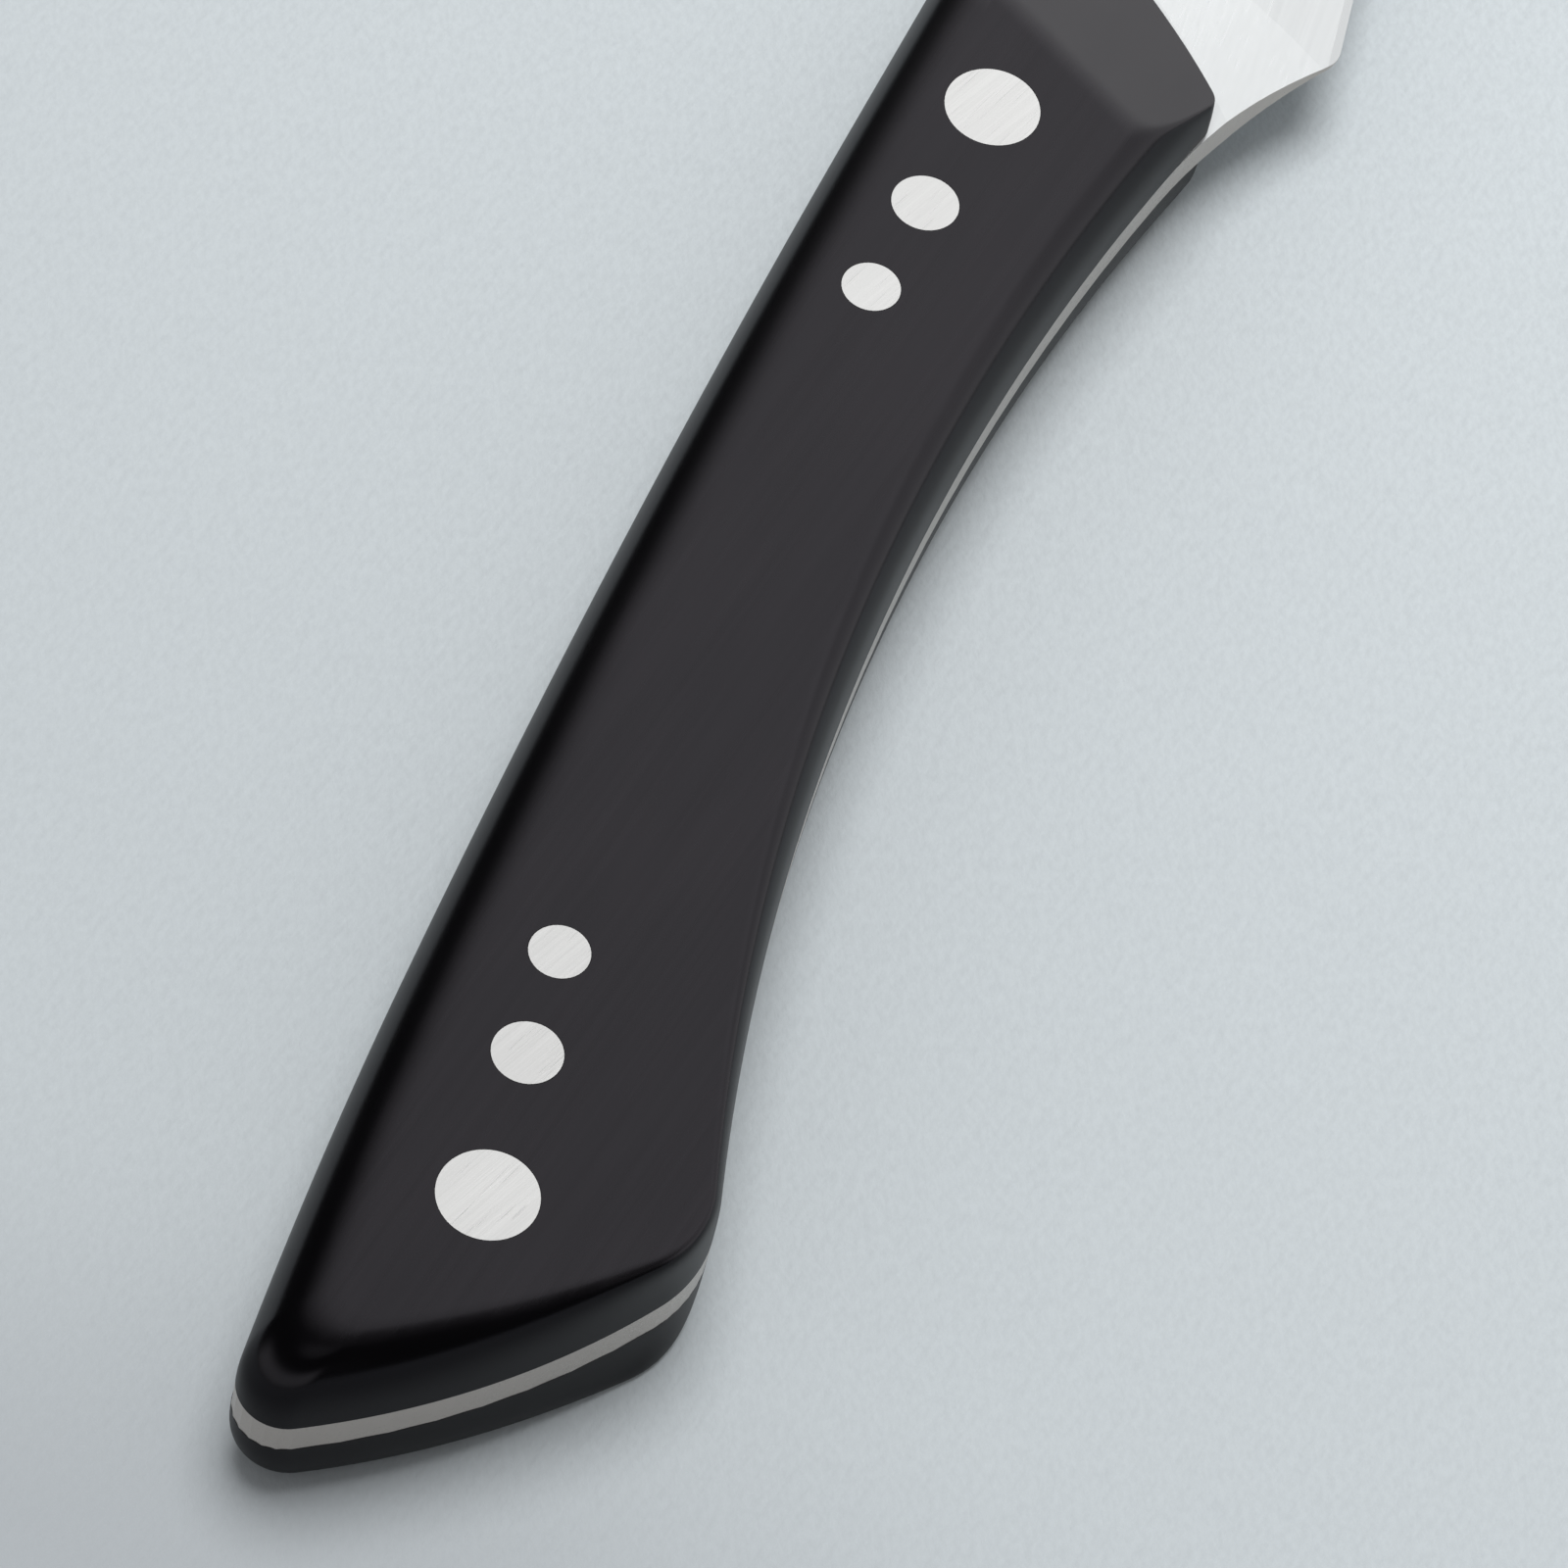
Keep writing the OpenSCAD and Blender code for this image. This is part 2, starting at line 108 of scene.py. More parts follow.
class Socket:
    """An output socket whose Python operators add Math nodes to its tree."""

    def __init__(self, tree: "Tree", link: bpy.types.NodeSocket) -> None:
        """Wraps one socket.

        Args:
            tree: The tree that the socket belongs to.
            link: Blender's own socket.
        """
        self.tree = tree
        self.link = link

    def _math(self, operation: str, first: Number, second: Number) -> "Socket":
        """Adds one Math node.

        Args:
            operation: Blender's name for the operation.
            first: The first value or socket.
            second: The second value or socket.

        Returns:
            The node's value.
        """
        return self.tree.node("ShaderNodeMath", {"operation": operation}, {0: first, 1: second})

    def __add__(self, other: Number) -> "Socket":
        """Adds a value to this one."""
        return self._math("ADD", self, other)

    def __radd__(self, other: Number) -> "Socket":
        """Adds this value to another."""
        return self._math("ADD", other, self)

    def __sub__(self, other: Number) -> "Socket":
        """Takes a value from this one."""
        return self._math("SUBTRACT", self, other)

    def __rsub__(self, other: Number) -> "Socket":
        """Takes this value from another."""
        return self._math("SUBTRACT", other, self)

    def __mul__(self, other: Number) -> "Socket":
        """Multiplies this value by another."""
        return self._math("MULTIPLY", self, other)

    def __rmul__(self, other: Number) -> "Socket":
        """Multiplies another value by this one."""
        return self._math("MULTIPLY", other, self)

    def __abs__(self) -> "Socket":
        """The value without its sign."""
        return self._math("ABSOLUTE", self, 0.0)

    def at_least(self, other: Number) -> "Socket":
        """The larger of this value and another."""
        return self._math("MAXIMUM", self, other)

    def at_most(self, other: Number) -> "Socket":
        """The smaller of this value and another."""
        return self._math("MINIMUM", self, other)


class Tree:
    """A node tree with one method that adds any node, and short ones for the common ones."""

    def __init__(self, nodes: bpy.types.NodeTree) -> None:
        """Takes a tree over and empties it.

        Args:
            nodes: The node tree of a material or of the world.
        """
        self.tree = nodes
        self.tree.nodes.clear()

    def node(
        self,
        kind: str,
        settings: Optional[Mapping[str, Any]] = None,
        inputs: Optional[Mapping[Union[str, int], Any]] = None,
        output: Union[str, int] = 0,
    ) -> Socket:
        """Adds a node, sets it up and links or fills its sockets.

        Args:
            kind: Blender's name of the node type.
            settings: The node's own settings, set before its sockets.
            inputs: A value or a socket for each input, by name or number.
            output: The output to hand back, by name or number.

        Returns:
            The chosen output, or the first input of a node that has no output.
        """
        made = self.tree.nodes.new(kind)
        for name, value in (settings or {}).items():
            setattr(made, name, value)
        for name, value in (inputs or {}).items():
            if isinstance(value, Socket):
                self.tree.links.new(value.link, made.inputs[name])
            else:
                made.inputs[name].default_value = value
        return Socket(self, made.outputs[output] if len(made.outputs) else made.inputs[0])

    def along(self, reading: Reading, axis: str) -> Socket:
        """One axis of what a pattern reads.

        Args:
            reading: What is read.
            axis: X, Y or Z.

        Returns:
            The value along that axis.
        """
        read = self.node("ShaderNodeTexCoord", output=reading.value)
        return self.node("ShaderNodeSeparateXYZ", None, {0: read}, axis)

    def levelness(self) -> Socket:
        """How nearly level the surface lies, from 0 on a wall to 1 on a flat."""
        return abs(self.along(Reading.FACING, "Z"))

    def place(self, turn: float, scale: Sequence[float]) -> Socket:
        """The place on the object, turned about Z and then stretched.

        Args:
            turn: The direction of the pattern's own X axis, in degrees.
            scale: Features per metre along the pattern's axes.

        Returns:
            The place as a vector.
        """
        spot = self.node("ShaderNodeTexCoord", output=Reading.PLACE.value)
        settled = self.node("ShaderNodeMapping", {"vector_type": "POINT"}, {
            "Vector": spot, "Rotation": (0.0, 0.0, math.radians(-turn))})
        return self.node("ShaderNodeMapping", {"vector_type": "POINT"}, {
            "Vector": settled, "Scale": tuple(scale)})

    def step(self, value: Socket, low: float, high: float) -> Socket:
        """A smooth step from 0 at low to 1 at high."""
        return self.node("ShaderNodeMapRange", {"interpolation_type": "SMOOTHSTEP"}, {
            "Value": value, "From Min": low, "From Max": high, "To Min": 0.0, "To Max": 1.0})

    def blend(self, share: Number, first: Paint, second: Paint) -> Socket:
        """Mixes two colours.

        Args:
            share: How much of the second colour, from 0 to 1.
            first: A colour or a colour socket.
            second: A colour or a colour socket.

        Returns:
            The mixed colour.
        """
        first, second = ((*c, 1.0) if isinstance(c, tuple) else c for c in (first, second))
        return self.node("ShaderNodeMix", {"data_type": "RGBA"}, {
            MIX_FACTOR: share, MIX_FIRST: first, MIX_SECOND: second}, MIX_RESULT)

    def bump(self, height: Socket, depth: float) -> Socket:
        """Turns a height into a normal.

        Args:
            height: The height, as a multiple of the depth.
            depth: What a height of 1 stands for, in metres.

        Returns:
            The normal.
        """
        return self.node("ShaderNodeBump", None, {
            "Height": height, "Strength": 1.0, "Distance": depth})

    def surface(self, **sockets: Any) -> Socket:
        """Adds a surface shader.

        Args:
            **sockets: Values and sockets of the shader, with spaces in their names as underscores.

        Returns:
            The shader.
        """
        named = {name.replace("_", " "): value for name, value in sockets.items()}
        return self.node("ShaderNodeBsdfPrincipled", None, named)

    def close(self, shader: Socket) -> None:
        """Ends a material's tree in its output."""
        self.node("ShaderNodeOutputMaterial", None, {"Surface": shader})


def new_material(name: str) -> Tuple[bpy.types.Material, Tree]:
    """Makes an empty material.

    Args:
        name: The material's name.

    Returns:
        The material and its tree.
    """
    made = bpy.data.materials.new(name)
    made.use_nodes = True
    return made, Tree(made.node_tree)


@dataclass(frozen=True)
class Grain:
    """A noise in the grain of a finish.

    Its scale is in features per metre, along the grain, across it and upwards. It has a number of
    finer octaves, each with a share of the one before, and a turn from the finish's own grain in
    degrees.
    """

    scale: Triple
    octaves: float
    octave_share: float
    turn: float = 0.0

    def on(self, tree: Tree, turn: float = 0.0) -> Socket:
        """Lays the noise on an object.

        Args:
            tree: The tree of the object's material.
            turn: The direction of the finish's own grain, in degrees.

        Returns:
            The noise, from 0 to 1.
        """
        return tree.node("ShaderNodeTexNoise", {"noise_dimensions": "3D"}, {
            "Vector": tree.place(self.turn + turn, self.scale), "Scale": 1.0,
            "Detail": self.octaves, "Roughness": self.octave_share})


# Finishes


@dataclass(frozen=True)
class SatinBlack:
    """The scales' black: flats sanded lengthwise, rolled edges polished and walls duller.

    A point is on a flat where its height is further than flat_span from the middle of the knife.
    """

    colour: Colour = (0.0010, 0.0009, 0.0012)
    worn_colour: Colour = (0.0068, 0.0060, 0.0070)
    sheen_tint: Colour = (1.0, 0.955, 1.07)
    gloss: float = 0.285
    roughness: float = 0.27
    rolled_roughness: float = 0.24
    wall_gloss: float = 0.05
    wall_roughness: float = 0.8
    wall_matt: float = 0.55
    wall_levelness: Span = (0.25, 0.80)
    middle: float = 0.0068
    flat_span: Span = (0.00655, 0.00678)
    grain_turn: float = -9.0
    lines: Grain = Grain((90.0, 5200.0, 900.0), 3.0, 0.6)
    coarse: Grain = Grain((35.0, 1700.0, 600.0), 2.0, 0.5)
    cloud: Grain = Grain((60.0, 190.0, 190.0), 3.0, 0.55)
    pores: Grain = Grain((2600.0, 2600.0, 2600.0), 1.0, 0.4)
    cloud_span: Span = (0.35, 0.75)
    pore_span: Span = (0.66, 0.76)
    cloud_wear: float = 0.7
    line_wear: float = 0.4
    cloud_roughness: float = 0.10
    coarse_roughness: float = 0.10
    coarse_height: float = 0.8
    pore_depth: float = 0.35
    line_depth: float = 1.6e-6

    def material(self) -> bpy.types.Material:
        """Builds the material.

        Returns:
            The finished material.
        """
        made, tree = new_material("satin_black")
        off_middle = abs(tree.along(Reading.PLACE, "Z") - self.middle)
        flat = tree.step(off_middle, *self.flat_span)
        lines = self.lines.on(tree, self.grain_turn)
        coarse = self.coarse.on(tree, self.grain_turn)
        cloud = self.cloud.on(tree, self.grain_turn)
        pores = tree.step(self.pores.on(tree), *self.pore_span)
        clouded = tree.step(cloud, *self.cloud_span)
        worn = flat * (clouded * self.cloud_wear + lines * self.line_wear)
        colour = tree.blend(worn.at_most(1.0), self.colour, self.worn_colour)
        rough = flat * (self.roughness - self.rolled_roughness) + self.rolled_roughness
        rough = rough + (cloud - NOISE_MIDDLE) * self.cloud_roughness
        rough = rough + flat * (coarse - NOISE_MIDDLE) * self.coarse_roughness
        relief = flat * (lines + coarse * self.coarse_height) - pores * self.pore_depth
        bump = tree.bump(relief, self.line_depth)
        upright = 1.0 - tree.step(tree.levelness(), *self.wall_levelness)
        sheen = tree.surface(
            Base_Color=colour, Roughness=rough, Specular_IOR_Level=self.gloss,
            Specular_Tint=(*self.sheen_tint, 1.0), Normal=bump,
        )
        matt = tree.surface(
            Base_Color=colour, Roughness=self.wall_roughness, Specular_IOR_Level=self.wall_gloss,
            Normal=bump,
        )
        tree.close(tree.node("ShaderNodeMixShader", None, {
            0: upright * self.wall_matt, 1: sheen, 2: matt}))
        return made


@dataclass(frozen=True)
class GroundSteel:
    """Satin steel with a fine grain, faint clouds and a few longer scratches.

    Upright faces, such as the plate's edges and the rivets' sides, get a warmer and darker colour:
    painted shade for the dim floor that they mirror. A small share of the steel is diffuse, so that
    it stays grey where the room that it mirrors is dark.
    """

    name: str = "ground_steel"
    colour: Colour = (0.60, 0.615, 0.62)
    dull_colour: Colour = (0.515, 0.53, 0.535)
    # Painted shade: the warmer, darker colour of upright faces
    shaded_edge_colour: Colour = (0.44, 0.405, 0.375)
    shaded_edge_levelness: Span = (0.30, 0.70)
    metal_share: float = 0.78
    roughness: float = 0.30
    grain_turn: float = 2.0
    fine: Grain = Grain((55.0, 7800.0, 7800.0), 2.0, 0.6)
    broad: Grain = Grain((25.0, 2300.0, 2300.0), 2.0, 0.5)
    cloud: Grain = Grain((40.0, 110.0, 110.0), 3.0, 0.5)
    strokes: Grain = Grain((240.0, 9000.0, 9000.0), 1.0, 0.4, 4.0)
    scratch_from: float = 0.70
    scratch_over: float = 0.08
    broad_dullness: float = 0.5
    cloud_dullness: float = 0.3
    fine_roughness: float = 0.16
    cloud_roughness: float = 0.08
    scratch_roughness: float = 0.08
    broad_height: float = 0.6
    scratch_depth: float = 0.4
    line_depth: float = 1.4e-6

    def material(self) -> bpy.types.Material:
        """Builds the material.

        Returns:
            The finished material.
        """
        made, tree = new_material(self.name)
        fine = self.fine.on(tree, self.grain_turn)
        broad = self.broad.on(tree, self.grain_turn)
        cloud = self.cloud.on(tree, self.grain_turn)
        strokes = self.strokes.on(tree, self.grain_turn)
        scratch = tree.step(strokes, self.scratch_from, self.scratch_from + self.scratch_over)
        dull = broad * self.broad_dullness + cloud * self.cloud_dullness
        colour = tree.blend(dull.at_most(1.0), self.colour, self.dull_colour)
        # Painted shade: upright faces take the darker edge colour, standing in for their dim
        # reflections
        unshaded_face = tree.step(tree.levelness(), *self.shaded_edge_levelness)
        colour = tree.blend(unshaded_face, self.shaded_edge_colour, colour)
        rough = self.roughness + (fine - NOISE_MIDDLE) * self.fine_roughness
        rough = rough + (cloud - NOISE_MIDDLE) * self.cloud_roughness
        rough = rough + scratch * self.scratch_roughness
        relief = fine + broad * self.broad_height - scratch * self.scratch_depth
        tree.close(tree.surface(
            Base_Color=colour, Metallic=self.metal_share, Roughness=rough,
            Normal=tree.bump(relief, self.line_depth),
        ))
        return made


@dataclass(frozen=True)
class PaleCard:
    """The floor's card with a fine felted tooth, and painted light and shade along the knife."""

    # Painted shade behind the butt, then a painted falloff of light from near to far
    corner_shade_colour: Colour = (0.44, 0.47, 0.495)
    near_colour: Colour = (0.56, 0.605, 0.63)
    far_colour: Colour = (0.775, 0.835, 0.865)
    mark_colour: Colour = (0.42, 0.45, 0.47)
    corner_shade_span: Span = (-0.130, -0.096)
    painted_falloff_span: Span = (-0.19, 0.13)
    painted_falloff_slant: float = 0.35
    tooth: Grain = Grain((1300.0, 2300.0, 2300.0), 3.0, 0.6, 26.0)
    fibre: Grain = Grain((500.0, 2300.0, 2300.0), 2.0, 0.5, -12.0)
    swell: Grain = Grain((110.0, 110.0, 110.0), 2.0, 0.5)
    tooth_span: Span = (0.30, 0.72)
    fibre_span: Span = (0.40, 0.72)
    tooth_mark: float = 0.16
    fibre_mark: float = 0.08
    swell_mark: float = 0.05
    fibre_height: float = 0.8
    swell_height: float = 2.0
    depth: float = 5.0e-5
    roughness: float = 0.85
    gloss: float = 0.2

    def material(self) -> bpy.types.Material:
        """Builds the material.

        Returns:
            The finished material.
        """
        made, tree = new_material("pale_card")
        ahead = tree.along(Reading.PLACE, "X")
        aside = tree.along(Reading.PLACE, "Y")
        # Painted falloff of light: darker towards the butt and towards the spine side
        painted_falloff = tree.step(ahead - aside * self.painted_falloff_slant, *self.painted_falloff_span)
        # Painted shade: darker still at the corner behind the butt
        corner = tree.step(ahead, *self.corner_shade_span)
        near = tree.blend(corner, self.corner_shade_colour, self.near_colour)
        colour = tree.blend(painted_falloff, near, self.far_colour)
        tooth, fibre, swell = (grain.on(tree) for grain in (self.tooth, self.fibre, self.swell))
        marks = tree.step(tooth, *self.tooth_span) * self.tooth_mark
        marks = marks + tree.step(fibre, *self.fibre_span) * self.fibre_mark
        marks = marks + swell * self.swell_mark
        relief = tooth + fibre * self.fibre_height + swell * self.swell_height
        tree.close(tree.surface(
            Base_Color=tree.blend(marks.at_most(1.0), colour, self.mark_colour),
            Roughness=self.roughness, Specular_IOR_Level=self.gloss,
            Normal=tree.bump(relief, self.depth),
        ))
        return made


# Plan of the handle


def heading(angle: float) -> Array:
    """The unit vector at an angle in degrees."""
    return np.array([math.cos(math.radians(angle)), math.sin(math.radians(angle))])


def left_of(vectors: Array) -> Array:
    """Each vector turned a quarter to the left."""
    return np.stack([-vectors[..., 1], vectors[..., 0]], -1)


def unit(vectors: Array) -> Array:
    """Each vector at length 1."""
    return vectors / np.linalg.norm(vectors, axis=-1, keepdims=True)


def circle(centre: Array, radius: float, count: int) -> Array:
    """Points round a circle: centre + radius (cos a, sin a) at equal angles."""
    angle = np.arange(count) * 2 * math.pi / count
    return centre + radius * np.stack([np.cos(angle), np.sin(angle)], -1)


def circle_meet(p: Array, p_r: float, q: Array, q_r: float, way: int) -> Array:
    """Where two circles meet.

    The meeting point lies along the line of centres by (p_r^2 - q_r^2 + apart^2) / (2 apart), and
    aside from it by what Pythagoras leaves of p_r.

    Args:
        p: The first centre.
        p_r: The first radius.
        q: The second centre.
        q_r: The second radius.
        way: 1 for the meeting point left of the line from p to q, and -1 for the right one.

    Returns:
        The point.
    """
    apart = float(np.linalg.norm(q - p))
    along = (p_r**2 - q_r**2 + apart**2) / (2 * apart)
    aside = math.sqrt(max(0.0, p_r**2 - along**2))
    return p + along * unit(q - p) + way * aside * left_of(unit(q - p))


def sweep(p: Array, q: Array, centre: Array, facets: int) -> Array:
    """Points on an arc from p towards q, without the last one.

    Each is centre + radius (cos a, sin a), where the angle a goes from p's to q's in equal turns
    and the radius is p's distance from the centre.

    Args:
        p: The first point.
        q: The last point.
        centre: The arc's centre.
        facets: How many points the arc gets.

    Returns:
        The points, as facets by 2.
    """
    start = math.atan2(*(p - centre)[::-1])
    turn = (math.atan2(*(q - centre)[::-1]) - start + math.pi) % (2 * math.pi) - math.pi
    angle = start + turn * np.arange(facets) / facets
    return centre + np.linalg.norm(p - centre) * np.stack([np.cos(angle), np.sin(angle)], -1)


def inside(points: Array, rim: Array) -> Array:
    """Which points lie inside a closed outline.

    A point is inside when an odd number of the outline's edges cross its row ahead of it.

    Args:
        points: The points, as points by 2.
        rim: The outline's points.

    Returns:
        True or False for each point.
    """
    a, b = rim, np.roll(rim, -1, axis=0)
    x, y = points[:, 0, None], points[:, 1, None]
    spans = (a[:, 1] > y) != (b[:, 1] > y)
    rise = np.where(b[:, 1] == a[:, 1], LEVEL_RISE, b[:, 1] - a[:, 1])
    crossing = a[:, 0] + (y - a[:, 1]) * (b[:, 0] - a[:, 0]) / rise
    return (np.count_nonzero(spans & (x < crossing), axis=1) % 2).astype(bool)


@dataclass(frozen=True)
class OutlineSide:
    """One side of the handle's outline: an arc, bulging outwards for 1 and inwards for -1."""

    centre: Array
    radius: float
    bulge: int = 1

    def drawn_in(self, inset: float) -> "OutlineSide":
        """The side moved into the handle by an inset."""
        return OutlineSide(self.centre, self.radius - self.bulge * inset, self.bulge)

    def touch(self, points: Array) -> Array:
        """The points of the side nearest to the given ones."""
        return self.centre + self.radius * unit(points - self.centre)

    def towards(self, other: "OutlineSide", share: float) -> "OutlineSide":
        """The side a share of the way to another, in its centre and its radius."""
        centre = self.centre + share * (other.centre - self.centre)
        return OutlineSide(centre, self.radius + share * (other.radius - self.radius), self.bulge)

    def corner(self, other: "OutlineSide", r: float, way: int) -> Array:
        """Centre of the rounding between this side and another.

        It is where the two sides meet once each is drawn in by the rounding's radius.

        Args:
            other: The next side.
            r: Radius of the rounding.
            way: Which of the two meeting points is meant, as in circle_meet.

        Returns:
            The centre.
        """
        return circle_meet(
            self.centre, self.radius - self.bulge * r,
            other.centre, other.radius - other.bulge * r, way,
        )

    def flat_edge(self, ends: Tuple[Array, Array], widths: Pair, r: float) -> "OutlineSide":
        """The flat's edge along this side, as an arc with a radius of its own.

        It passes through two points, each a roll's width in from one end of this side.

        Args:
            ends: Points that lie square off the side's two ends.
            widths: The roll's width at those ends.
            r: The radius of the edge.

        Returns:
            The edge.
        """
        p, q = (self.drawn_in(width).touch(end) for width, end in zip(widths, ends))
        return OutlineSide(circle_meet(p, r, q, r, self.bulge), r, self.bulge)


@dataclass(frozen=True)
class HandlePlan:
    """The handle's outline in millimetres, from the axis of the rear large rivet.

    The corners come in the order spine and butt, butt and belly, belly and front end, front end and
    spine. Where a roll has two widths, they are those at its ends, in the same order. The facets
    are those along each stretch of the outline.
    """

    crown: Pair = (15.0, 10.8)
    rear_spine_r: float = 430.0
    front_spine_r: float = 1150.0
    front_spine_len: float = 75.0
    blade_spine_r: float = 6000.0
    waist_share: float = 0.581
    waist_depth: float = 6.9
    choil_rise: float = 2.8
    heel_ahead: float = 20.0
    heel_depth: float = 19.3
    butt_reach: float = 9.2
    butt_slant: float = 50.0
    butt_r: float = 55.0
    front_reach: float = 16.5
    front_slant: float = 50.0
    front_r: float = 60.0
    corner_r: Tuple[float, float, float, float] = (3.0, 9.0, 2.0, 2.5)
    flat_corner_r: Tuple[float, float, float, float] = (2.0, 6.0, 1.0, 1.25)
    spine_roll_w: float = 4.4
    butt_roll_w: Pair = (3.7, 0.5)
    butt_flat_r: float = 80.0
    belly_roll_w: Pair = (1.0, 3.0)
    belly_flat_r: float = 175.0
    front_roll_w: float = 0.25
    rivet_span: float = 92.9
    butt_facets: int = 56
    corner_facets: int = 26
    belly_facets: int = 210
    front_facets: int = 64
    blade_spine_facets: int = 16
    front_spine_facets: int = 130
    rear_spine_facets: int = 50

    def straight_heading(self) -> Array:
        """The way that the spine faces where its long curve ends.

        Its share along the knife is the curve's length over its radius, and Pythagoras gives the
        share across.

        Returns:
            The unit vector.
        """
        lean = self.front_spine_len / self.front_spine_r
        return np.array([lean, math.sqrt(1 - lean * lean)])

    def sides(self) -> Dict[str, OutlineSide]:
        """The arcs of the outline at the tang.

        The belly's radius is the one whose arc is level at the waist and passes over the heel by
        the choil's rise: (run^2 + drop^2) / (2 drop).

        Returns:
            The sides by name.
        """
        crown = np.array(self.crown)
        front_spine = OutlineSide(crown - [0, self.front_spine_r], self.front_spine_r)
        rivet = np.array([self.rivet_span, 0.0])
        waist = np.array([self.rivet_span * self.waist_share, -self.waist_depth])
        run = self.rivet_span + self.heel_ahead - waist[0]
        drop = waist[1] + self.heel_depth - self.choil_rise
        belly_r = (run * run + drop * drop) / (2 * drop)
        butt_centre = (self.butt_r - self.butt_reach) * heading(self.butt_slant)
        front_centre = rivet - (self.front_r - self.front_reach) * heading(-self.front_slant)
        blade_spine_centre = front_spine.centre + self.straight_heading() * (
            self.front_spine_r - self.blade_spine_r)
        return {
            "rear_spine": OutlineSide(crown - [0, self.rear_spine_r], self.rear_spine_r),
            "butt": OutlineSide(butt_centre, self.butt_r),
            "belly": OutlineSide(waist - [0, belly_r], belly_r, -1),
            "front": OutlineSide(front_centre, self.front_r),
            "blade_spine": OutlineSide(blade_spine_centre, self.blade_spine_r),
            "front_spine": front_spine,
        }

    @staticmethod
    def corners(s: Mapping[str, OutlineSide], r: Sequence[float]) -> List[Array]:
        """Centres of the four corner roundings.

        Args:
            s: The sides by name.
            r: The roundings' radii.

        Returns:
            The centres.
        """
        return [
            s["rear_spine"].corner(s["butt"], r[0], 1), s["butt"].corner(s["belly"], r[1], -1),
            s["belly"].corner(s["front"], r[2], -1), s["front"].corner(s["blade_spine"], r[3], 1),
        ]

    def flat_sides(self) -> Dict[str, OutlineSide]:
        """The arcs of the flat's edge.

        Returns:
            The sides by name.
        """
        s = self.sides()
        c = self.corners(s, self.corner_r)
        return {
            "rear_spine": s["rear_spine"].drawn_in(self.spine_roll_w),
            "butt": s["butt"].flat_edge((c[0], c[1]), self.butt_roll_w, self.butt_flat_r),
            "belly": s["belly"].flat_edge((c[1], c[2]), self.belly_roll_w, self.belly_flat_r),
            "front": s["front"].drawn_in(self.front_roll_w),
            "blade_spine": s["blade_spine"].drawn_in(self.spine_roll_w),
            "front_spine": s["front_spine"].drawn_in(self.spine_roll_w),
        }

    def ring(self, share: float, inset: float = 0.0) -> Array:
        """One closed outline on the way from the tang's outline to the flat's edge.

        It goes from the spine's rear corner over the butt, belly, front end and spine. Each side is
        an arc whose centre and radius lie between those of the two outlines, and each corner is an
        arc that touches both neighbours.

        Args:
            share: How far the outline is drawn in, from 0 at the tang to 1 at the flat.
            inset: How far it is drawn in beyond that, in millimetres.

        Returns:
            The points, as points by 2.
        """
        flat = self.flat_sides()
        s = {
            name: side.towards(flat[name], share).drawn_in(inset)
            for name, side in self.sides().items()
        }
        r = [a + share * (b - a) for a, b in zip(self.corner_r, self.flat_corner_r)]
        c1, c2, c3, c4 = self.corners(s, r)
        butt, belly, front = s["butt"], s["belly"], s["front"]
        rear_spine, blade_spine, spine = s["rear_spine"], s["blade_spine"], s["front_spine"]
        crown = spine.centre + spine.radius * np.array([0.0, 1.0])
        straight = spine.centre + spine.radius * self.straight_heading()
        return np.concatenate([
            sweep(butt.touch(c1), butt.touch(c2), butt.centre, self.butt_facets),
            sweep(butt.touch(c2), belly.touch(c2), c2, self.corner_facets),
            sweep(belly.touch(c2), belly.touch(c3), belly.centre, self.belly_facets),
            sweep(belly.touch(c3), front.touch(c3), c3, self.corner_facets),
            sweep(front.touch(c3), front.touch(c4), front.centre, self.front_facets),
            sweep(front.touch(c4), blade_spine.touch(c4), c4, self.corner_facets),
            sweep(blade_spine.touch(c4), straight, blade_spine.centre, self.blade_spine_facets),
            sweep(straight, crown, spine.centre, self.front_spine_facets),
            sweep(crown, rear_spine.touch(c1), rear_spine.centre, self.rear_spine_facets),
            sweep(rear_spine.touch(c1), butt.touch(c1), c1, self.corner_facets),
        ])


# Meshes


